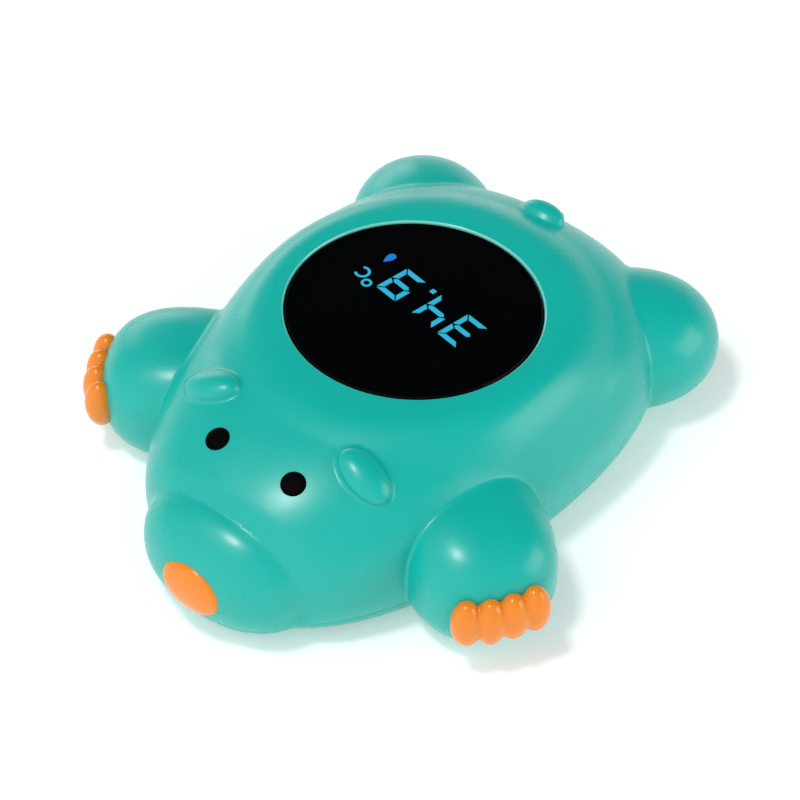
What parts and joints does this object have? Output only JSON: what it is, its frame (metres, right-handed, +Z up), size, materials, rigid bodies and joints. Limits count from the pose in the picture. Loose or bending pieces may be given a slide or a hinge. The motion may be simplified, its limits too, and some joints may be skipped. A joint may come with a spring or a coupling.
{
  "type": "baby bath thermometer",
  "caption": "Floating bath thermometer shaped as a lying bear, with a round digit window on its back, a screwed battery cover and a steel probe in its belly.",
  "frame": {"origin": "centre of the box on the level that the belly rests on", "axes": "+Z up, -Y towards the nose, +X towards the bear's own left side, which mirrors the right"},
  "size_m": [0.1108, 0.1229, 0.035],
  "materials": {
    "teal_plastic": "satin moulded plastic",
    "orange_plastic": "satin moulded plastic",
    "black_plastic": "smooth moulded plastic",
    "smoked_window": "polished smoked acrylic",
    "seal_rubber": "moulded silicone rubber",
    "board": "solder-masked glass-fibre board",
    "steel": "plain bright steel",
    "cell": "printed sleeve, left bare"
  },
  "bodies": {
    "root": {"upper_shell": "teal_plastic", "lower_shell": "teal_plastic", "battery_cover": "teal_plastic", "shell_gasket": "seal_rubber", "window_seal": "seal_rubber", "cover_gasket": "seal_rubber", "probe_seal": "seal_rubber", "display_window": "smoked_window", "display_module": "black_plastic", "controller_chip": "black_plastic", "thermistor": "black_plastic", "eye_left": "black_plastic", "eye_right": "black_plastic", "main_board": "board", "board_screw_1": "steel", "board_screw_2": "steel", "board_screw_3": "steel", "shell_screw_1": "steel", "shell_screw_2": "steel", "shell_screw_3": "steel", "shell_screw_4": "steel", "cover_screw_1": "steel", "cover_screw_2": "steel", "contact_bridge": "steel", "contact_positive": "steel", "contact_negative": "steel", "spring_bridge": "steel", "spring_negative": "steel", "probe_cap": "steel", "water_contact_left": "steel", "water_contact_right": "steel", "battery_left": "cell", "battery_right": "cell", "nose": "orange_plastic", "toe_cap_left": "orange_plastic", "toe_cap_right": "orange_plastic"}
  },
  "joints": []
}
